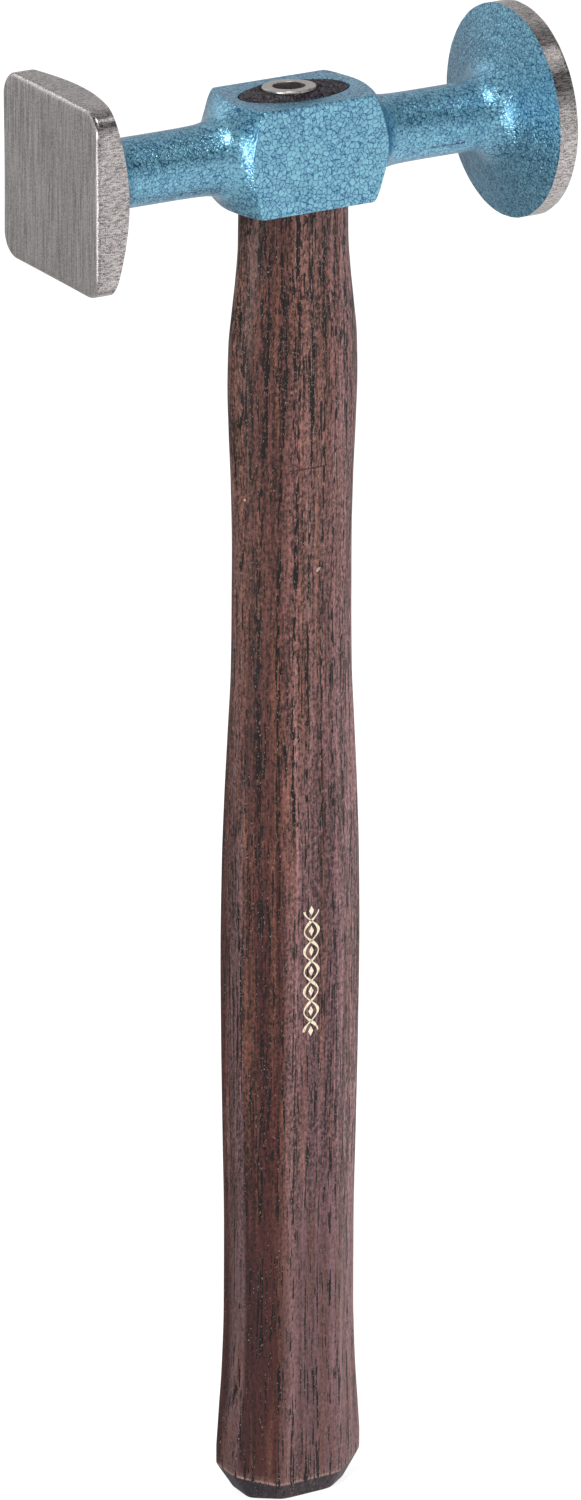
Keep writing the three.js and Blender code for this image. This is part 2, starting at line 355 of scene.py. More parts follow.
# Head: one forging. Its skin is a grid over the angle round the head's axis and
# a profile [place along X, radius]; the square face and the block are where the
# radius is limited to a rounded rectangle.
headValues = {
    "axisHeight": 308.4,
    "columns": 288,
    "cornerPull": 0.12,  # gathers columns at the block's and square face's corners
    "neckRadius": 7.4,
    "flareRadius": 7.0,
    "blockHalf": (10.95, 11.8, 16.9),  # half depth, half height, half length
    "blockEdge": 0.5,
    "leftDent": (0.9, 17.2, 3.2),  # straightens a crease: depth, place, reach
    "creaseReach": 0.25,  # how far the paint rounds the block's creases
    "blankRadius": 16.3,
    "shoulder": [  # share of the half length, share of blank radius over neck
        (0.746, 1), (0.817, 0.921), (0.87, 0.787), (0.917, 0.618), (0.959, 0.494),
        (1, 0.388), (1.031, 0.303), (1.075, 0.21), (1.14, 0.117), (1.23, 0.055),
        (1.37, 0.018), (1.6, 0.004), (1.83, 0),
    ],
    "shoulderPull": 0.8,  # gathers rows at the crease
    "squareReach": 58.6,
    "squareHalf": 20.2,
    "squareCorner": 5.0,
    "squareBevel": (0.9, 1.4),  # size, power of its curve
    "squareThickness": 7.6,
    "squareBackAngle": 24.0,  # degrees
    "roundReach": 56.2,
    "roundRadius": 23.15,
    "roundEdge": 4.5,
    "roundBackAngle": 17.5,
    "roundBevel": 0.4,
    "roundCrown": 0.5,
    "rimWave": 0.13,  # how far the hand-ground rim wanders
    "rimWaves": ((11, 1.0, 1.0), (23, 2.2, 0.8), (41, 0.0, 0.5)),  # count, start, size
    "toolMark": (15.6, 0.06, 0.5),  # turned line: radius, height, width
    "faceShares": (0.08, 0.3, 0.55, 0.8, 0.93, 1),  # rows of the square face's flat
    "crownMiddle": 0.04,  # the crown's innermost row, a share of its radius
    # Hidden ends, where paint and bare steel close inside one another: how far a
    # tuck lies along and inwards, and how far its cap lies along
    "tucks": {
        "squareBack": (0.5, 0.9, 0.5), "roundBack": (0.4, 0.8, 0.9),
        "squareFace": (0.12, 0.8, 0.3), "roundFace": (0.15, 0.8, 0.5),
    },
    "capRadius": 2.0,
    "rows": {
        "shoulder": 40, "crease": 7, "flat": 14, "flare": 16, "squareBack": 18,
        "disc": 34, "squareBevel": 8, "squareSide": 12, "roundSide": 9,
        "roundBevel": 6, "crown": 14,
    },
    "eye": (0.0, 12.9, 7.1),  # centre along X, half length, half width
    "eyeLip": (0.25, 1.3, 6),  # rounding of the eye's edge: radius, radians, rows
    "eyeClear": (1.5, 4.0),  # how far the cutter runs on: up, outwards
    "eyeColumns": 120,
    "bareFrom": (0.2, 0.1),  # the flats' own finish starts this far inside the faces
}


def rectangleRadius(angle, halfY, halfZ, corner):
    # How far a rounded rectangle reaches in each direction: its flat sides, or
    # the circle of its corner where the direction meets that first
    c, s = np.abs(np.cos(angle)), np.abs(np.sin(angle))
    tiny = 1e-9
    flat = np.minimum(halfY / np.maximum(c, tiny), halfZ / np.maximum(s, tiny))
    innerY, innerZ = halfY - corner, halfZ - corner
    along = innerY * c + innerZ * s
    depth = along ** 2 - (innerY ** 2 + innerZ ** 2 - corner ** 2)
    rounded = along + np.sqrt(np.maximum(depth, 0))
    return np.where((flat * c > innerY) & (flat * s > innerZ), rounded, flat)


def headPoints(values, angle, bands):
    # Points of the head's skin: bands of rows [along X, radius], one after the
    # other, turned about the head's axis
    wide = [np.broadcast_arrays(*band, angle[None]) for band in bands]
    along, radius, turn = (np.concatenate(part) for part in zip(*wide))
    return np.stack([
        along, radius * np.cos(turn), values["axisHeight"] + radius * np.sin(turn),
    ], -1)


def flareProfile(values, edgeReach, edgeRadius, backAngle):
    # The hollow arc from the neck to the back of a face: a circle that touches
    # both. Gives its rows of reach and radius, neck first, and the back's slope
    hollow, neck = values["flareRadius"], values["neckRadius"]
    sweep = math.pi / 2 - math.radians(backAngle)
    slope = math.tan(math.radians(backAngle))
    arcEnd = neck + hollow * (1 - math.cos(sweep))
    arcStart = edgeReach - (edgeRadius - arcEnd) * slope - hollow * math.sin(sweep)
    turn = np.linspace(0, sweep, values["rows"]["flare"])[:, None]
    return arcStart + hollow * np.sin(turn), neck + hollow * (1 - np.cos(turn)), slope


def blockHalfProfile(values, angle):
    # Neck, shoulder, crease and half of the block's flat, from the neck inwards.
    # The shoulder is a curve through the listed shares, and the crease is the
    # place where its radius comes to that of the flat
    halfY, halfZ, halfX = values["blockHalf"]
    neck, blank, reach = (values[k] for k in ("neckRadius", "blankRadius", "creaseReach"))
    shoulder = [(a * halfX, neck + b * (blank - neck)) for a, b in values["shoulder"]]
    inner, outer = shoulder[0][0], shoulder[-1][0]
    flat = rectangleRadius(angle, halfY, halfZ, values["blockEdge"])
    fine = np.linspace(inner, outer, 2000)
    crossing = np.interp(flat, smoothThrough(shoulder, fine)[::-1], fine[::-1])
    rows = values["rows"]
    share = np.linspace(0, 1, rows["shoulder"])[:, None] ** values["shoulderPull"]
    along = outer * (1 - share) + (crossing + reach) * share
    radius = smoothThrough(shoulder, along)
    bend = turnedCorner(
        np.stack([along[-1], radius[-1]]), np.stack([crossing, flat]),
        np.stack([crossing - reach, flat]), rows["crease"],
    )[1:]
    middle = (crossing - reach) * np.linspace(1, 0, rows["flat"])[1:, None]
    return (
        np.concatenate([along, bend[:, 0], middle]),
        np.concatenate([radius, bend[:, 1], np.broadcast_to(flat, middle.shape)]),
    )


def rimWave(values, angle):
    # The rim's radius, which wanders a little where it was ground by hand: a
    # sum of waves, moved and scaled to lie between the full radius and rimWave
    # below it
    waves = values["rimWaves"]
    most = sum(size for *_, size in waves)
    wander = sum(size * np.sin(count * angle + start) for count, start, size in waves)
    return values["roundRadius"] - values["rimWave"] * (most + wander) / (2 * most)


def paintedRows(values, angle):
    # The painted part of the head, from the edge of the square face's back to
    # the edge of the round face's back: cone, flare, block, flare and disc.
    # Each end turns in to a hidden cap.
    rows, tucks, capRadius = values["rows"], values["tucks"], values["capRadius"]
    half = values["squareHalf"]
    square = rectangleRadius(angle, half, half, values["squareCorner"])
    back = values["squareReach"] - values["squareThickness"]
    arcAlong, arcRadius, slope = flareProfile(
        values, back, half, values["squareBackAngle"],
    )
    share = np.linspace(0, 1, rows["squareBack"])[:, None]
    coneRadius = arcRadius[-1] + (square - arcRadius[-1]) * share
    coneAlong = back + (coneRadius - half) * slope
    blockAlong, blockRadius = blockHalfProfile(values, angle)
    dent, dentPlace, dentReach = values["leftDent"]
    dent = dent * np.clip(-np.cos(angle), 0, 1) ** 4
    leftAlong = blockAlong - dent * np.exp(-((blockAlong - dentPlace) / dentReach) ** 2)
    edge = values["roundReach"] - values["roundEdge"]
    rimAlong, rimRadius, rimSlope = flareProfile(
        values, edge, values["roundRadius"], values["roundBackAngle"],
    )
    rim = rimWave(values, angle)
    share = np.linspace(0, 1, rows["disc"])[:, None]
    discRadius = rimRadius[-1] + (rim - rimRadius[-1]) * share
    markPlace, markHeight, markWidth = values["toolMark"]
    mark = markHeight * np.exp(-((discRadius - markPlace) / markWidth) ** 2)
    discAlong = edge + (discRadius - values["roundRadius"]) * rimSlope - mark
    squarePast, squareIn, squareCap = tucks["squareBack"]
    roundPast, roundIn, roundCap = tucks["roundBack"]
    return headPoints(values, angle, [
        (-back - squareCap, capRadius),
        (-coneAlong[-1:] - squarePast, square - squareIn),
        (-coneAlong[::-1], coneRadius[::-1]),
        (-arcAlong[-2::-1], arcRadius[-2::-1]),
        (-leftAlong, blockRadius),
        (blockAlong[-2::-1], blockRadius[-2::-1]),
        (rimAlong[1:], rimRadius[1:]),
        (discAlong[1:], discRadius[1:]),
        (discAlong[-1:] + roundPast, rim - roundIn),
        (edge + roundCap, capRadius),
    ])


def squareFaceRows(values, angle):
    # The ground square face, from its middle over the bevel and the sides to
    # the back's edge, all shares of its outline; closed inside the painted part
    half, reach, rows = values["squareHalf"], values["squareReach"], values["rows"]
    bevel, power = values["squareBevel"]
    outline = rectangleRadius(angle, half, half, values["squareCorner"])
    slope = math.tan(math.radians(values["squareBackAngle"]))
    back = reach - values["squareThickness"]
    backEdge = back + (outline - half) * slope
    share = np.array(values["faceShares"])[:, None]
    turn = np.linspace(0, math.pi / 2, rows["squareBevel"])[1:, None]
    side = np.linspace(0, 1, rows["squareSide"])[1:, None]
    past, inwards, capPast = values["tucks"]["squareFace"]
    return headPoints(values, angle, [
        (-reach, share * (outline - bevel)),
        (bevel * (1 - np.cos(turn) ** power) - reach,
         outline - bevel * (1 - np.sin(turn) ** power)),
        ((bevel - reach) * (1 - side) - backEdge * side, outline),
        (past - backEdge, outline - inwards),
        (capPast - back, values["capRadius"]),
    ])


def roundFaceRows(values, angle):
    # The ground round face: rim, small round bevel and a faint parabolic crown,
    # closed inside the painted part
    reach, bevel, rows = values["roundReach"], values["roundBevel"], values["rows"]
    edge = reach - values["roundEdge"]
    rim = rimWave(values, angle)
    slope = math.tan(math.radians(values["roundBackAngle"]))
    backEdge = edge + (rim - values["roundRadius"]) * slope
    side = np.linspace(0, 1, rows["roundSide"])[:, None]
    turn = np.linspace(0, math.pi / 2, rows["roundBevel"])[1:, None]
    share = np.linspace(1, values["crownMiddle"], rows["crown"])[1:, None]
    past, inwards, capPast = values["tucks"]["roundFace"]
    return headPoints(values, angle, [
        (edge + capPast, values["capRadius"]),
        (backEdge + past, rim - inwards),
        (backEdge * (1 - side) + (reach - bevel) * side, rim),
        (reach - bevel * (1 - np.sin(turn)), rim - bevel * (1 - np.cos(turn))),
        (reach + values["roundCrown"] * (1 - share ** 2), share * (rim - bevel)),
    ])


def cutEye(head, values):
    # Cuts the oval eye through the block: an upright oval whose ends open out
    # along a quarter circle, as the paint rounds its edges, and then run clear
    centre, halfLength, halfWidth = values["eye"]
    lip, lipTurn, lipRows = values["eyeLip"]
    clearUp, clearOut = values["eyeClear"]
    halfHeight = values["blockHalf"][1]
    turn = np.linspace(0, lipTurn, lipRows)
    height = np.append(halfHeight - lip + lip * np.sin(turn), halfHeight + clearUp)
    grow = lip * (1 - np.cos(turn))
    grow = np.append(grow, grow[-1] + clearOut)
    height = np.concatenate([-height[::-1], height])[:, None]
    grow = np.concatenate([grow[::-1], grow])[:, None]
    cutter = addMesh("eyeCutter", *closedGrid(ovalPoints(
        evenAngles(values["eyeColumns"]), centre, halfLength + grow, halfWidth + grow,
        values["axisHeight"] + height,
    )))
    cut = head.modifiers.new("eye", "BOOLEAN")
    cut.operation, cut.solver, cut.object = "DIFFERENCE", "EXACT", cutter
    bpy.context.view_layer.update()
    graph = bpy.context.evaluated_depsgraph_get()
    carved = bpy.data.meshes.new_from_object(head.evaluated_get(graph))
    head.modifiers.clear()
    head.data = carved
    bpy.data.objects.remove(cutter)
    smoothAll(carved)


# Ring wedge: a short steel tube driven into the tenon's end.
ringValues = {
    "columns": 128,
    "centre": -1.2,
    "outer": 5.75,
    "bore": 3.5,
    "top": 321.6,
    "length": 16.0,
    "bevels": (0.3, 0.15),  # outside, in the bore
    "tilt": 0.058,  # how much higher it stands per millimetre to the front
    "taper": (0.5, 6.0),  # at the tip: inwards, over this length
    "tipWall": 0.7,
    "rows": {"bevel": 5, "top": 5, "side": 12},
}


def ringRows(values):
    # A tube turned about its own axis: up the bore, over the bevelled top and
    # down the outside to the tip, as a closed loop of [radius, height]
    outer, bore, top, rows = (values[k] for k in ("outer", "bore", "top", "rows"))
    bevel, boreBevel = values["bevels"]
    inwards, taperLength = values["taper"]
    bottom, tip = top - values["length"], outer - inwards
    turn = np.linspace(0, math.pi / 2, rows["bevel"])
    inner = np.stack([
        bore + boreBevel * (1 - np.cos(turn)), top - boreBevel * (1 - np.sin(turn)),
    ], -1)
    outside = np.stack([
        outer - bevel * (1 - np.sin(turn)), top - bevel * (1 - np.cos(turn)),
    ], -1)
    climb = np.linspace(bottom, top - bevel, rows["side"])
    taper = [bottom, bottom + taperLength]
    boreRadius = np.interp(climb, taper, [tip - values["tipWall"], bore])
    outerRadius = np.interp(climb, taper, [tip, outer])
    profile = np.concatenate([
        np.stack([boreRadius, climb], -1), inner,
        np.linspace(inner[-1], outside[0], rows["top"])[1:-1], outside,
        np.stack([outerRadius, climb], -1)[::-1][1:],
    ])
    radius, height = profile[:, :1], profile[:, 1:]
    angle = evenAngles(values["columns"])
    points = ovalPoints(angle, values["centre"], radius, radius, height)
    points[..., 2] -= values["tilt"] * points[..., 1]
    return points


# Handle: one piece of hickory, an upright skin over the angle round its axis.
handleValues = {
    "columns": 224,
    "gripTop": 296.5,
    "gripHalf": (15.25, 9.7),  # half width, half depth
    "sideFlat": 0.47,  # share of the side that is flat
    "cornerPower": 28,  # higher is a crisper octagon
    "sections": [  # height share, width, depth, flat share of the front, ovalness
        (0.036, 1.065, 0.97, 0.49, 0), (0.066, 1.025, 0.955, 0.49, 0),
        (0.098, 0.98, 0.945, 0.48, 0), (0.147, 0.948, 0.935, 0.48, 0),
        (0.21, 0.945, 0.935, 0.47, 0), (0.29, 0.97, 0.96, 0.47, 0),
        (0.36, 0.99, 0.985, 0.47, 0), (0.43, 1, 1, 0.47, 0),
        (0.5, 0.985, 1, 0.46, 0.05), (0.55, 0.962, 0.98, 0.4, 0.2),
        (0.6, 0.935, 0.955, 0.36, 0.5), (0.65, 0.915, 0.92, 0.36, 0.85),
        (0.7, 0.918, 0.89, 0.36, 1), (0.74, 0.915, 0.885, 0.36, 1),
        (0.79, 0.935, 0.895, 0.36, 1), (0.83, 0.97, 0.91, 0.36, 1),
        (0.865, 0.992, 0.915, 0.36, 1), (0.895, 0.98, 0.9, 0.36, 1),
        (0.92, 0.93, 0.87, 0.36, 1), (0.945, 0.875, 0.82, 0.36, 1),
        (0.97, 0.838, 0.79, 0.36, 1), (1, 0.832, 0.785, 0.36, 1),
    ],
    "buttHalf": (12.2, 8.3),
    "buttShares": (0.05, 0.35, 0.7, 0.9),  # rows of the flat butt, out from its middle
    "chamferHeight": (4.2, 6.4),  # on the front, on the sides
    "edgeReach": 0.5,  # how far the chamfer's edges are rounded
    "edgeScale": 12.0,  # the butt's size, of which the reach inwards is a share
    "wholeAbove": 20.0,  # above this height the rows are level
    "tenon": (0.0, 12.6, 6.9),  # centre along X, half length, half width
    "tenonTop": 320.25,
    "tenonEase": 0.15,
    "bulge": (1.1, 3.0),  # the wood that the ring has lifted: height, reach
    # The gap's darkness is painted shade: wood beside the ring and along the split is
    # coloured as dark as its shadow
    "gap": (0.3, 0.6, 1.6, 0.1),  # along the ring: depth, width, darkness, into slot
    "slot": (5.8, 3.42, 318.25, 305.0),  # outer, inner radius; wall from, to
    "coreTop": (319.7, 0.3, 0.95, 0.06),  # height, edge; rows from, to the middle
    "split": ((3.6, -2.4), (8.8, -2.2), 1.0, 0.45),  # from, to, depth, half width
    "splitWander": (0.12, 2.6, 0.8),  # sideways, radians per millimetre, ends' ease
    # Crossed waves of the torn end grain: rates along X and Y and start of one,
    # rates of the other, height
    "torn": ((5.1, 2.3, 0, -1.9, 6.7, 0.12), (9.3, -7.7, 1, 4.1, 11, 0.084)),
    "coreTorn": 3,  # how much rougher the core is
    "rows": {
        "lowerEdge": 5, "chamfer": 12, "upperEdge": 6, "flare": 14, "grip": 330,
        "tenonSide": 8, "tenonEdge": 4, "endGrain": 34, "core": 9,
    },
    "buttDye": 0.92,
    "edgeDye": 0.7,
    "edgeWear": (0.3, 0.8, 0.85, 0.5, 0.2, 0.05),  # rows above the chamfer
    "core": (0.3, 0.8),  # on the core in the ring's bore: how much of the dye's dark colour, as painted shade, and of the end grain's colour
}


def octagonRadius(values, angle, halfWidth, halfDepth, frontShare, ovalness):
    # How far the grip's section reaches in each direction: an octagon as a
    # power mean of its front, side and corner flats, drawn towards an oval
    c, s = np.abs(np.cos(angle)), np.abs(np.sin(angle))
    acrossX = halfDepth * (1 - values["sideFlat"])  # normal of the corner flat
    acrossY = halfWidth * (1 - frontShare)
    flat = acrossX * halfWidth * frontShare + acrossY * halfDepth
    power = values["cornerPower"]
    octagon = (
        (c / halfWidth) ** power + (s / halfDepth) ** power
        + ((acrossX * c + acrossY * s) / flat) ** power
    ) ** (-1 / power)
    oval = ((c / halfWidth) ** 2 + (s / halfDepth) ** 2) ** -0.5
    return octagon * (1 - ovalness) + oval * ovalness


def sectionAt(values, height, parts):
    # Columns of the section table, interpolated at a height
    table = np.array(values["sections"], float)
    share = height / values["gripTop"]
    return [smoothThrough(table[:, [0, part]], share) for part in parts]


def gripPoints(values, angle, height):
    # The grip's skin: the section interpolated at each height
    halfWidth, halfDepth = values["gripHalf"]
    width, depth, front, oval = sectionAt(values, height, (1, 2, 3, 4))
    size = width * halfWidth, depth * halfDepth
    reach = octagonRadius(values, angle, *size, front, oval)
    return np.stack([reach * np.cos(angle), reach * np.sin(angle), height], -1)


def scaledRows(outline, shares):
    # Rows that shrink an outline towards its middle
    middle = outline.mean(0)
    return middle + (outline - middle) * np.array(shares)[:, None, None]


def buttRows(values, angle):
    # Butt from its middle to the grip's first level row: the flat end, the
    # chamfer that is higher at the sides than on the front, and its two edges
    *_, front, oval = values["sections"][0]
    radius = octagonRadius(values, angle, *values["buttHalf"], front, oval)
    butt = ovalPoints(angle, 0, radius, radius, 0)
    frontHeight, sideHeight = values["chamferHeight"]
    flare = gripPoints(values, angle, np.zeros_like(angle))
    halfWidth = flare[:, 0].max()
    toSide = np.clip((np.abs(flare[:, 0]) / halfWidth - front) / (1 - front), 0, 1)
    edge = flare.copy()
    edge[:, 2] = frontHeight + (sideHeight - frontHeight) * toSide
    slant = (edge - butt) / np.linalg.norm(edge - butt, axis=1, keepdims=True)
    reach, rows = values["edgeReach"], values["rows"]
    inwards = scaledRows(butt, [1 - reach / values["edgeScale"]])[0]
    above = edge + [0, 0, reach]
    start, end = butt + slant * reach, edge - slant * reach
    climb = np.linspace(0, 1, rows["chamfer"])[1:, None, None]
    t = np.linspace(0, 1, rows["flare"])[1:, None]
    return np.concatenate([
        scaledRows(inwards, values["buttShares"]),
        turnedCorner(inwards, butt, start, rows["lowerEdge"]),
        start + (end - start) * climb,
        turnedCorner(end, edge, above, rows["upperEdge"])[1:],
        gripPoints(values, angle, above[:, 2] + (values["wholeAbove"] - above[:, 2]) * t),
    ])


def splitShare(values, points):
    # How deep a place lies in the split, from 0 to 1: full on the line between
    # its two ends and nothing a little beside it
    x, y = points[..., 0], points[..., 1]
    (fromX, fromY), (toX, toY), _, width = values["split"]
    sideways, rate, ease = values["splitWander"]
    span = np.array([toX - fromX, toY - fromY])
    length = np.linalg.norm(span)
    along = ((x - fromX) * span[0] + (y - fromY) * span[1]) / length
    off = ((y - fromY) * span[0] - (x - fromX) * span[1]) / length
    off = off + sideways * np.sin(rate * along)
    inside = np.clip(np.minimum(along, length - along) / ease, 0, 1)
    return inside * np.exp(-(off / width) ** 2)


def endGrain(values, points):
    # Height of the cut end grain: crossed waves for the torn fibres, less the
    # furrow of the split
    x, y = points[..., 0], points[..., 1]
    torn = sum(
        height * np.sin(a * x + b * y + start) * np.sin(c * x + d * y)
        for a, b, start, c, d, height in values["torn"]
    )
    return torn - values["split"][2] * splitShare(values, points)


def tenonRows(values, ring, angle):
    # Tenon in the eye, its end grain with the split that the ring has opened,
    # and the ring's slot round the core. Off the ring the lifted wood sinks as
    # e to the minus distance, and the gap is a bell curve
    centre, halfLength, halfWidth = values["tenon"]
    top, ease, rows = values["tenonTop"], values["tenonEase"], values["rows"]
    ringCentre, (outer, inner, wallTop, floor) = ring["centre"], values["slot"]
    coreTop, coreEdge, coreFrom, coreTo = values["coreTop"]
    climb = np.linspace(values["gripTop"], top - ease, rows["tenonSide"])[:, None]
    turn = np.linspace(0, math.pi / 2, rows["tenonEdge"])[1:, None]
    inwards = ease * (1 - np.cos(turn))
    rim = ovalPoints(
        angle, centre, halfLength - inwards, halfWidth - inwards,
        top - ease * (1 - np.sin(turn)),
    )
    slot = ovalPoints(angle, ringCentre, outer, outer, top)
    share = np.linspace(0, 1, rows["endGrain"])[1:, None, None]
    end = rim[-1] + (slot - rim[-1]) * share
    off = np.hypot(end[..., 0] - ringCentre, end[..., 1]) - outer
    lift, fade = values["bulge"]
    lift = (lift - ring["tilt"] * end[..., 1]) * (1 - (1 - share[..., 0]) ** 3)
    gapDepth, gapWidth, *_ = values["gap"]
    end[..., 2] += endGrain(values, end) + lift * np.exp(-off / fade)
    end[..., 2] -= gapDepth * np.exp(-(off / gapWidth) ** 2)
    coreRadius = inner * np.linspace(coreFrom, coreTo, rows["core"])[:, None]
    core = ovalPoints(angle, ringCentre, coreRadius, coreRadius, coreTop)
    core[..., 2] += values["coreTorn"] * endGrain(values, core)
    walls = [
        ovalPoints(angle, ringCentre, radius, radius, np.array(heights)[:, None])
        for radius, heights in (
            (outer, (wallTop, floor)), (inner, (floor, coreTop - coreEdge)),
        )
    ]
    side = ovalPoints(angle, centre, halfLength, halfWidth, climb)
    return np.concatenate([side, rim, end, *walls, core])


def handleRows(values, ring):
    # Butt, grip and tenon, one above the other, and the tenon's first row
    angle = evenAngles(values["columns"])
    levels = np.linspace(values["wholeAbove"], values["gripTop"], values["rows"]["grip"])
    levels = np.broadcast_to(levels[1:, None], (len(levels) - 1, len(angle)))
    butt, grip = buttRows(values, angle), gripPoints(values, angle, levels)
    rows = np.concatenate([butt, grip, tenonRows(values, ring, angle)])
    return rows, len(butt) + len(grip)


# Foil ornament on the grip's front, a traditional running chain: two crossing
# waves with lozenges between them, stamped in pale gold foil.
foilValues = {
    "centre": (-0.4, 125.0),  # on the front: along X and up
    "length": 28.0,
    "halfWaves": 6,
    "swing": 1.75,
    "halfWidths": (0.14, 0.34),  # thin and thick parts of a ribbon
    "lozenge": (1.15, 0.6),  # half length, half width
    "blunt": 1.02,  # a lozenge's tips keep what is over 1 of its half width
    "stands": 0.035,  # above the wood
    "sinks": 0.05,
    "rows": (360, 9),  # of a ribbon, of a lozenge
}


def onFront(values, handle, along, up):
    # The grip's front skin at a place: the octagon's power mean solved for the
    # depth, where only the front and side flats count
    x, height = values["centre"][0] + along, values["centre"][1] + up
    halfWidth, halfDepth = handle["gripHalf"]
    width, depth = sectionAt(handle, height, (1, 2))
    power = handle["cornerPower"]
    share = (np.abs(x) / (width * halfWidth)) ** power
    return np.stack([x, -depth * halfDepth * (1 - share) ** (1 / power), height], -1)


def foilStroke(values, handle, across, up, halfWidth):
    # A flat stroke along a path on the front: each row is the four corners of
    # its section, a thin rectangle square to the path
    way = np.stack([np.gradient(across), np.gradient(up)], -1)
    way /= np.linalg.norm(way, axis=1, keepdims=True)
    offX, offZ = way[:, 1] * halfWidth, way[:, 0] * halfWidth
    left = onFront(values, handle, across - offX, up + offZ)
    right = onFront(values, handle, across + offX, up - offZ)
    out, back = [0, -values["stands"], 0], [0, values["sinks"], 0]
    return closedGrid(np.stack([left + out, right + out, right + back, left + back], 1))


def foilPoints(values, handle):
    # Both waves, which swell where they cross the middle, the lozenges in the
    # chain's eyes and one beyond each end
    half, count = values["length"] / 2, values["halfWaves"]
    thin, thick = values["halfWidths"]
    ribbonRows, lozengeRows = values["rows"]
    up = np.linspace(-half, half, ribbonRows)
    phase = up / values["length"] * count * math.pi
    strokes = []
    for side in (1, -1):
        across = side * values["swing"] * np.cos(phase)
        swell = (0.5 + 0.5 * np.sin(2 * phase + side)) ** 2
        strokes.append((across, up, thin + (thick - thin) * swell))
    longHalf, wideHalf = values["lozenge"]
    step = np.linspace(-1, 1, lozengeRows)
    for place in np.linspace(-half, half, count + 1):
        halfWidth = wideHalf * (values["blunt"] - np.abs(step))
        strokes.append((0 * step, place + longHalf * step, halfWidth))
    points, faces, start = [], [], 0
    for stroke in strokes:
        strokePoints, strokeFaces = foilStroke(values, handle, *stroke)
        points.append(strokePoints)
        faces += [[start + corner for corner in face] for face in strokeFaces]
        start += len(strokePoints)
    return np.concatenate(points), faces


# Finishes. Colours are sRGB hex; pattern sizes are in millimetres.
hammertoneValues = {
    "cells": (1.1, 0.9),  # one cell of the paint where it lies thick, where thin
    "thickReach": (15.0, 23.0),  # along X, where the thick paint ends
    "thickWander": 12.0,
    "wander": (1.1, 3.0, 1.1),  # of the cells' edges: per millimetre, detail, sway
    "vein": 0.12,  # width of a vein, in cells
    "light": "#8cc9de",
    "dark": "#205d8a",
    "edgeTint": "#c0c9dc",  # of light that only grazes the flake
    "metallic": 0.85,
    "roughness": 0.4,
    "coat": (0.7, 0.15),  # weight, roughness
    "domeSlope": 0.42,  # in cells
    "reliefDepth": 0.05,  # of the domes, in the flake and in the clear skin
    "flakeShares": (0.35, 1.0),  # the grain beside the domes, in the flake, in the skin
    "layers": {
        "cloud": (0.13, 3.0, 0.5), "mottle": (1.2, 3.0, 0.6), "flake": (3.0, 3.0, 0.7),
    },
    "toneStart": -1.13,
    "toneWeights": {
        "vein": 0.9, "thinMottle": 0.9, "cellShade": 0.4, "cloud": 0.2, "mottle": 0.1,
        "flake": 1.4,
    },
    "scratch": ((28.6, 38.2), 305.0, 0.16, 1.6),  # along X, height, half width, wander
    "scratchFrom": 0.46,  # the flake noise above which it shows
    "scratchColour": "#26384a",
}


def makeHammertone(values):
    # Hammertone enamel, sprayed: aluminium flake drawn into domed cells with
    # darker veins under a clear skin, so it glows softly and sparkles
    material, add, here, (x, y, z), layers = startMaterial(
        "blueHammertoneEnamel", values["layers"],
    )
    scale, detail, sway = values["wander"]
    wander = {"Vector": here, "Scale": scale, "Detail": detail}
    wander = add("TexNoise", wander, out="Color")
    bent = add("VectorMath", [wander, [sway] * 3, here], operation="MULTIPLY_ADD")
    reach = add("Math", [x], operation="ABSOLUTE")
    thickWander = values["thickWander"]
    reach = add("Math", [layers["cloud"], thickWander, reach], operation="MULTIPLY_ADD")
    ends = [edge + thickWander / 2 for edge in values["thickReach"]]
    thin = add("MapRange", [reach, *ends], interpolation_type="SMOOTHSTEP")
    edges, shades = [], []
    for size in values["cells"]:
        inputs = {"Vector": bent, "Scale": 1 / size}
        edges.append(
            add("TexVoronoi", inputs, out="Distance", feature="DISTANCE_TO_EDGE"),
        )
        shades.append(add("SeparateColor", [add("TexVoronoi", inputs, out="Color")]))
    toEdge, layers["cellShade"] = (
        add("Mix", {0: thin, 2: thick, 3: fine}, data_type="FLOAT")
        for thick, fine in (edges, shades)
    )
    layers["vein"], dome = (
        add("MapRange", [toEdge, 0.0, values[width]], interpolation_type=curve)
        for width, curve in (("vein", "SMOOTHSTEP"), ("domeSlope", "SMOOTHERSTEP"))
    )
    thinMottle = add("Math", [layers["mottle"], 0.5], operation="SUBTRACT")
    layers["thinMottle"] = add("Math", [thinMottle, thin], operation="MULTIPLY")
    colour = toneColour(add, layers, values)
    flake = layers["flake"]
    scratch = fineLine(add, x, z, layers["mottle"], values["scratch"])
    for limit in (
        add("Math", [y, 0.0], operation="LESS_THAN"),
        add("Math", [flake, values["scratchFrom"]], operation="GREATER_THAN"),
    ):
        scratch = add("Math", [scratch, limit], operation="MULTIPLY")
    colour = add("Mix", {
        0: scratch, 6: colour, 7: values["scratchColour"],
    }, out=2, data_type="RGBA")
    relief, skin = (
        add("Math", [flake, share, dome], operation="MULTIPLY_ADD")
        for share in values["flakeShares"]
    )
    depth = values["reliefDepth"] * millimetre
    skin = add("Bump", {"Height": skin, "Distance": depth})
    relief = add("Math", [relief, scratch], operation="SUBTRACT")
    coat, coatRoughness = values["coat"]
    finishSurface(add, values, colour, values["roughness"], relief, {
        "Specular Tint": values["edgeTint"], "Coat Weight": coat,
        "Coat Roughness": coatRoughness, "Coat Normal": skin,
    })
    return material


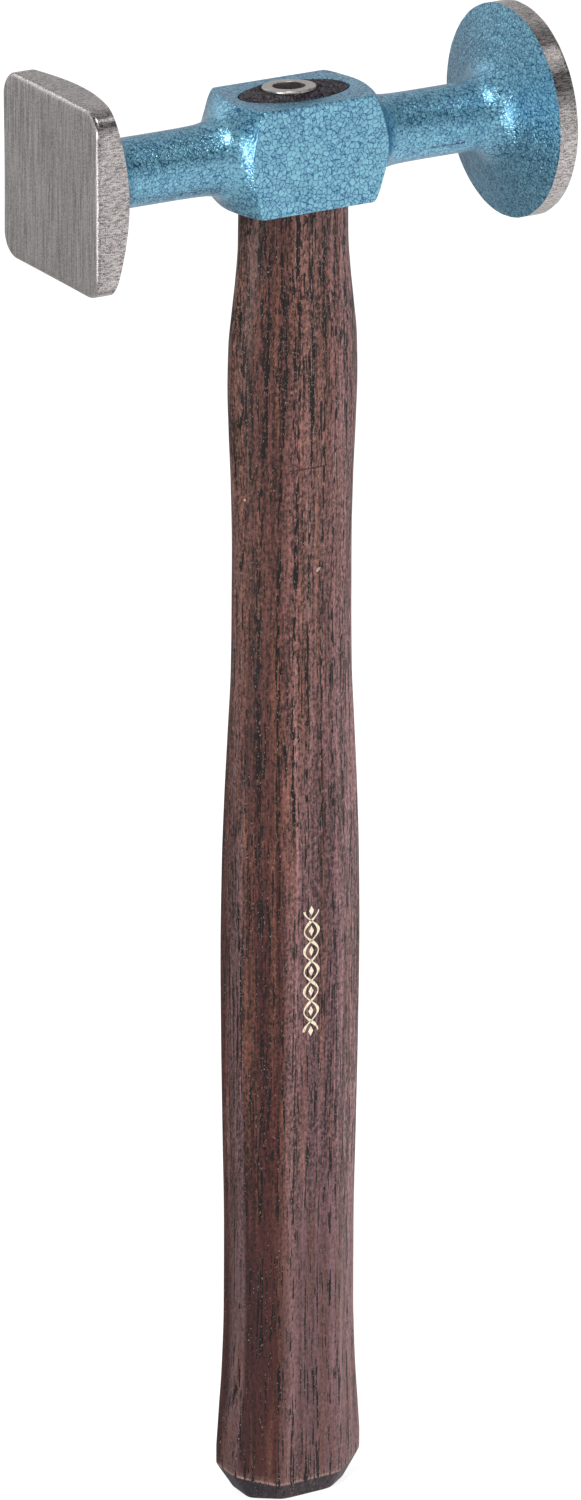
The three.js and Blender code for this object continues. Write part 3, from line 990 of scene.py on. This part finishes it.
# Ground tool steel: what every kind has, and then each kind's own. Pits are a
# noise from and to and their share from and to.
steelValues = {
    "metallic": 1.0,
    "reliefDepth": 0.012,  # of a grinding line
    "pitDepth": 1.5,  # in grinding lines
    "pitColour": "#3f3b3a",
    "lineRange": (0.3, 0.7),  # of the noise
}
squareSteelValues = {
    **steelValues,
    "layers": {
        "lines": ((2.0, 2.2, 0.08), 3.0, 0.7), "grit": (4.0, 2.0, 0.6),
        "cloud": ((0.1, 0.1, 0.06), 2.0, 0.5), "pits": (1.1, 4.0, 0.7),
    },
    "toneWeights": {"lines": 2.4, "grit": 2.4, "cloud": 0.2}, "toneStart": -2.0,
    "dark": "#847f7f", "light": "#cdc8c8", "metallic": 0.7,
    "roughness": (0.34, 0.5), "pits": (0.66, 0.72, 0, 0.6),
}
rimSteelValues = {
    **steelValues,
    "layers": {
        "lines": ((0.8, 3.4, 3.4), 4.0, 0.7), "grit": (4.5, 2.0, 0.7),
        "cloud": (0.2, 2.0, 0.5), "pits": (1.2, 4.0, 0.7),
    },
    "toneWeights": {"lines": 3.2, "grit": 3.4, "cloud": 0.3}, "toneStart": -2.95,
    "dark": "#6b6463", "light": "#dad4d3",
    "roughness": (0.22, 0.36), "pits": (0.63, 0.69, 0, 0.6),
}
ringSteelValues = {
    **steelValues,
    "layers": {
        "lines": (1.6, 3.0, 0.6), "grit": (4.0, 2.0, 0.6),
        "cloud": (0.3, 2.0, 0.5), "pits": (1.4, 3.0, 0.6),
    },
    "toneWeights": {"lines": 1.0, "grit": 0.8, "cloud": 0.3}, "toneStart": -0.55,
    "dark": "#a09a97", "light": "#ded9d6", "reliefDepth": 0.02,
    "roughness": (0.3, 0.5), "pits": (0.62, 0.68, 0, 0.5),
}


def makeGroundSteel(name, values):
    # Tool steel, belt-ground: grey, with fine lines along the grinding, a soft
    # cloudiness and small dark pits where the forging skin is left
    material, add, _, _, layers = startMaterial(name, values["layers"])
    pits = add("MapRange", [layers["pits"], *values["pits"]])
    colour = add("Mix", {
        0: pits, 6: toneColour(add, layers, values), 7: values["pitColour"],
    }, out=2, data_type="RGBA")
    lines = layers["lines"]
    roughness = add("MapRange", [lines, *values["lineRange"], *values["roughness"]])
    relief = add("Math", [pits, -values["pitDepth"], lines], operation="MULTIPLY_ADD")
    finishSurface(add, values, colour, roughness, relief)
    return material


hickoryValues = {
    "ringWidth": 3.2,
    "ringLean": 0.15,  # how far the rings turn from the side's plane
    "ringStart": 12.2,
    "waver": 2.0,  # how far the rings wander
    "drift": 1.5,  # how far the rings move over towards the head
    "bandHalf": (0.12, 0.14),  # half width of a pore band, in rings; of the rough one
    "bandEdge": (0.6, 1.4, 1, 0),  # where a band fades, in half widths
    "layers": {
        "waver": ((0.12, 0.12, 0.012), 3.0, 0.5),
        "cluster": ((0.4, 0.4, 0.03), 2.0, 0.5),
        "pores": ((2.2, 2.2, 0.09), 2.0, 0.5),  # drawn about twice as coarse as real
        "breaks": ((1.6, 1.6, 0.5), 3.0, 0.7),
        "dash": ((1.3, 1.3, 0.36), 1.0, 0.5),
        "fibre": ((2.4, 2.4, 0.22), 3.0, 0.7),
        "speckle": ((1.8, 1.8, 1.1), 3.0, 0.7),
        "streak": ((0.9, 0.9, 0.02), 3.0, 0.6),
        "warm": ((0.55, 0.55, 0.014), 2.0, 0.5),
        "smear": ((1.0, 1.0, 0.45), 3.0, 0.6),
        "glint": ((3.2, 3.2, 2.0), 1.0, 0.5),
    },
    # A long pore opens where the weighted sum of these layers passes nought
    "poreStart": -1.485,
    "poreShares": {
        "pores": 1.7, "band": 0.12, "cluster": 0.24, "breaks": 0.62, "top": 0.07,
        "topBreaks": 0.6,
    },
    "dashFrom": 0.57,  # the dash noise above which a short pore opens
    "poreEdge": 0.03,
    "nearPore": (-0.14, -0.04),
    "heights": {  # along the handle
        "drift": (165.0, 300.0),
        "neck": (115.0, 225.0),  # where the grip's colours become the neck's
        "upper": (148.0, 162.0),  # above here the rings show rows of short pores
        "top": (235.0, 275.0),  # where the oblique cut shows more and shorter pores
    },
    "calm": (55.0, 85.0, 0.5, 1),  # below these heights the shades are halved
    "shadeShares": {"fibre": 2.8, "speckle": 5.0, "streak": 2.6},
    "topShade": -0.1,
    "darkest": 0.25,
    # Noise from and to, and share from and to: of the warm brown, of what is
    # left of dye and wear, and of a pore's painted glint
    "warmRange": (0.5, 0.62, 0, 0.55),
    "smearRange": (0.42, 0.62, 1, 0.72),
    "glintRange": (0.64, 0.72, 0, 0.55),
    "check": ((-5.5, 3.6), 239.4, 0.16, 0.9),  # along X, height, half width, wander
    "flecks": ((-13.3, -2.9, 232.7), (1.5, -8.4, 216.3)),
    "fleckSize": (1.15, 1.6),  # reach, wander
    # The board's bands across the rings, in millimetres from its middle, in the
    # grip and nearer the head: worn left corner, dark heartwood, a pale ring,
    # the brown middle and the paler sapwood
    "zones": (
        (-16.6, "#4c3639"), (-15.5, "#664c4e"), (-14.9, "#3c1d1d"), (-9.2, "#48221e"),
        (-6.2, "#7f5c5c"), (-4.2, "#66484a"), (3.9, "#6c4c50"), (7.5, "#8e6a6c"),
    ),
    "neckZones": (
        (-15.5, "#624640"), (-14.6, "#53332d"), (-9.6, "#53322d"), (-5.3, "#865d58"),
        (-3.4, "#78554f"), (2.8, "#714d4a"), (5.5, "#855f5e"),
    ),
    "boardHalf": 16.6,
    "colours": {
        # The dye's colour also darkens the core in the ring's bore as painted shade
        "warm": "#6c4436", "dyed": "#1e1e29", "endGrain": "#464048", "worn": "#a58378",
        # The gap's colour is painted shade, for the gap beside the ring and the split
        "gap": "#120c0e", "pore": "#150d0e", "fleck": "#b8a599", "check": "#3a2624",
    },
    "relief": {"fibre": 0.3, "speckle": 0.3, "pore": -1.0},
    "reliefDepth": 0.2,
    "metallic": 0.0,
    "roughness": (0, 1, 0.35, 0.7),  # speckle noise from and to, roughness from and to
    "specular": 0.32,
}


def makeHickory(values):
    # Hickory, shaved and stained dark with an oil finish: straight growth rings
    # with rows of long open pores in their early wood, fine fibre in between.
    # A ring is a step of one in (across + ringStart) / ringWidth
    material, add, here, (x, y, z), layers = startMaterial(
        "stainedHickory", values["layers"],
    )
    towardsHead, inNeck, upper, layers["top"] = (
        add("MapRange", [z, *ends], interpolation_type="SMOOTHSTEP")
        for ends in values["heights"].values()
    )
    across, waver, width = x, values["waver"], values["ringWidth"]
    for part, share in (
        (y, values["ringLean"]), (towardsHead, -values["drift"]),
        (layers["waver"], waver),
    ):
        across = add("Math", [part, share, across], operation="MULTIPLY_ADD")
    across = add("Math", [across, waver / 2], operation="SUBTRACT")
    ring = [across, 1 / width, values["ringStart"] / width]
    ring = add("Math", ring, operation="MULTIPLY_ADD")
    nearest = add("Math", [ring], operation="ROUND")
    away = add("Math", [ring, nearest], operation="SUBTRACT")
    away = add("Math", [away], operation="ABSOLUTE")
    roughRing = add("Math", [nearest, 0.0, 0.4], operation="COMPARE")
    thin, rough = values["bandHalf"]
    bandHalf = add("Math", [roughRing, rough - thin, thin], operation="MULTIPLY_ADD")
    inBand = add("Math", [away, bandHalf], operation="DIVIDE")
    layers["band"] = add("MapRange", [inBand, *values["bandEdge"]])
    # Long pores, and dashes for the short ones in the upper rings
    topBreaks = add("Math", [layers["breaks"], 0.5], operation="SUBTRACT")
    layers["topBreaks"] = add("Math", [topBreaks, layers["top"]], operation="MULTIPLY")
    pore = layerSum(add, layers, values["poreStart"], values["poreShares"])
    nearPore = add("MapRange", [pore, *values["nearPore"]])
    pore, dash = (
        add("MapRange", [value, start, start + values["poreEdge"]])
        for value, start in ((pore, 0.0), (layers["dash"], values["dashFrom"]))
    )
    for limit in (layers["band"], upper):
        dash = add("Math", [dash, limit], operation="MULTIPLY")
    pore = layers["pore"] = add("Math", [pore, dash], operation="MAXIMUM")
    # The board's colours lie across the rings, scaled by the grip's width
    half = values["boardHalf"]
    heightShare = add("Math", [z, handleValues["gripTop"]], operation="DIVIDE")
    halfWidth = add("ValToRGB", [heightShare], stops=[
        (share, (*[wide / 2] * 3, 1)) for share, wide, *_ in handleValues["sections"]
    ])
    onBoard = add("Math", [across, 0.5], operation="MULTIPLY")
    onBoard = add("Math", [onBoard, halfWidth], operation="DIVIDE")
    boardPlace = add("MapRange", [onBoard, -half, half])
    grip, neck = (
        add("ValToRGB", [boardPlace], stops=[
            ((place + half) / (2 * half), code) for place, code in values[zones]
        ])
        for zones in ("zones", "neckZones")
    )
    colour = add("Mix", {0: inNeck, 6: grip, 7: neck}, out=2, data_type="RGBA")
    # Warm stripes, then from the attributes the dye, which on the core is painted shade,
    # the end grain, the wear, and the painted shade of the gap and the split
    warm, uneven, glint = (
        add("MapRange", [layers[layer], *values[layer + "Range"]])
        for layer in ("warm", "smear", "glint")
    )
    colours = values["colours"]
    for name in ("warm", "dyed", "endGrain", "worn", "gap"):
        share = warm
        if name != "warm":
            share = add("Attribute", out="Fac", attribute_name=name)
        if name in ("dyed", "worn"):
            share = add("Math", [share, uneven], operation="MULTIPLY")
        over = {0: share, 6: colour, 7: colours[name]}
        colour = add("Mix", over, out=2, data_type="RGBA")
    # Shade: 1 and the layers' weighted sum about nought, calmer near the butt, and a
    # tenth darker towards the head
    level = -sum(values["shadeShares"].values()) / 2
    shade = layerSum(add, layers, level, values["shadeShares"])
    calm = add("MapRange", [z, *values["calm"]])
    shade = add("Math", [shade, calm, 1.0], operation="MULTIPLY_ADD")
    shade = layerSum(add, layers, shade, {"top": values["topShade"]})
    shade = add("Math", [shade, values["darkest"]], operation="MAXIMUM")
    colour = add("Mix", {
        0: 1.0, 6: colour, 7: add("CombineColor", [shade, shade, shade]),
    }, out=2, data_type="RGBA", blend_type="MULTIPLY")
    # Pores, the painted glints of the oil finish beside them, one fine crack across and
    # two pale flecks
    glint = add("Math", [glint, nearPore], operation="MULTIPLY")
    onCheck = fineLine(add, x, z, layers["speckle"], values["check"])
    marks = [(pore, "pore"), (glint, "fleck"), (onCheck, "check")]
    reach, sway = values["fleckSize"]
    for place in values["flecks"]:
        off = add("VectorMath", [here, place], out="Value", operation="DISTANCE")
        off = add("Math", [layers["speckle"], sway, off], operation="MULTIPLY_ADD")
        marks.append((add("Math", [off, reach], operation="LESS_THAN"), "fleck"))
    for share, name in marks:
        over = {0: share, 6: colour, 7: colours[name]}
        colour = add("Mix", over, out=2, data_type="RGBA")
    relief = layerSum(add, layers, 0.0, values["relief"])
    roughness = add("MapRange", [layers["speckle"], *values["roughness"]])
    finishSurface(add, values, colour, roughness, relief, {
        "Specular IOR Level": values["specular"],
    })
    return material


goldFoilValues = {
    "layers": {"grain": ((4.0, 4.0, 1.2), 3.0, 0.5)},
    "stops": ((0.32, "#c2a775"), (0.48, "#fff3d8")),
    "metallic": 0.35,
    "roughness": 0.4,
    "reliefDepth": 0.02,
}


def makeGoldFoil(values):
    # Hot-stamped foil: a thin pale gold film, slightly broken by the grain
    material, add, _, _, layers = startMaterial("paleGoldFoil", values["layers"])
    colour = add("ValToRGB", [layers["grain"]], stops=values["stops"])
    finishSurface(add, values, colour, values["roughness"], layers["grain"])
    return material


def setAttribute(piece, name, values):
    # A number on each point of the mesh, for its material
    attribute = piece.data.attributes.new(name, "FLOAT", "POINT")
    attribute.data.foreach_set("value", np.ascontiguousarray(values, np.float32).ravel())


def finishFlat(piece, reach, material):
    # Gives a second finish to the faces that lie beyond a reach along X
    piece.data.materials.append(material)
    centres = np.empty(len(piece.data.polygons) * 3)
    piece.data.polygons.foreach_get("center", centres)
    beyond = np.abs(centres[::3]) > reach * millimetre
    piece.data.polygons.foreach_set("material_index", beyond.astype(np.int32))


def addHead(values):
    # The painted forging with its eye, and the two bare faces, whose flats have
    # a finish of their own. The columns are even angles plus a share of the
    # sine of four times the angle
    angle = evenAngles(values["columns"])
    angle = angle + values["cornerPull"] * np.sin(4 * angle)
    rimSteel = makeGroundSteel("groundRimSteel", rimSteelValues)
    faceSteel = makeGroundSteel("groundFaceSteel", squareSteelValues)
    painted = addPiece(
        "paintedHead", *closedGrid(paintedRows(values, angle)),
        makeHammertone(hammertoneValues), "head", "painted_steel",
    )
    cutEye(painted, values)
    for name, rows, reach, inside in (
        ("squareFace", squareFaceRows, values["squareReach"], values["bareFrom"][0]),
        ("roundFace", roundFaceRows, values["roundReach"], values["bareFrom"][1]),
    ):
        face = addPiece(
            name, *closedGrid(rows(values, angle)), rimSteel, "head", "bare_steel",
        )
        finishFlat(face, reach - inside, faceSteel)


def addHandle(values, ring):
    # The chamfer and the butt are dyed darker, the edge between them and the
    # grip is worn light, the core in the ring's bore is darkened as painted
    # shade, and the gap beside the ring and the split are painted dark as shade
    rows, tenonFrom = handleRows(values, ring)
    handle = addPiece(
        "hickoryHandle", *closedGrid(rows), makeHickory(hickoryValues), "handle",
        "stained_hickory",
    )
    dyed, endGrain, worn = (np.zeros(rows.shape[:2]) for _ in range(3))
    counts, coreRows = values["rows"], values["rows"]["core"]
    buttEnd = len(values["buttShares"]) + counts["lowerEdge"] + counts["chamfer"] - 1
    edge = slice(buttEnd, buttEnd + len(values["edgeWear"]))
    dyed[:buttEnd] = values["buttDye"]
    dyed[edge] = np.linspace(values["edgeDye"], 0, len(values["edgeWear"]))[:, None]
    worn[edge] = np.array(values["edgeWear"])[:, None]
    endGrain[tenonFrom:] = 1.0
    # The core, down in the ring's bore, takes some of the dye's dark colour as painted
    # shade
    dyed[-coreRows:], endGrain[-coreRows:] = values["core"]
    # Painted shade: dark where the gap beside the ring lies in shadow, fading outwards,
    # and along the split
    _, gapWidth, darkness, within = values["gap"]
    toRing = np.hypot(rows[..., 0] - ring["centre"], rows[..., 1]) - values["slot"][0]
    nearRing = np.clip(darkness - toRing / gapWidth, 0, 1) * (toRing > -within)
    gap = np.maximum(nearRing, splitShare(values, rows))
    gap[:tenonFrom] = 0
    for name, share in (
        ("dyed", dyed), ("endGrain", endGrain), ("worn", worn), ("gap", gap),
    ):
        setAttribute(handle, name, [*share[0, :1], *share.ravel(), *share[-1, :1]])


addHead(headValues)
print("head made")
addHandle(handleValues, ringValues)
print("handle made")
addPiece(
    "ringWedge", *loopedGrid(ringRows(ringValues)),
    makeGroundSteel("ringSteel", ringSteelValues), "ring_wedge", "bare_steel",
)
print("ring wedge made")
foil = addPiece(
    "foilOrnament", *foilPoints(foilValues, handleValues), makeGoldFoil(goldFoilValues),
    None, "stained_hickory",
)
smoothAll(foil.data, sharpAngle=30)
print("foil ornament made")
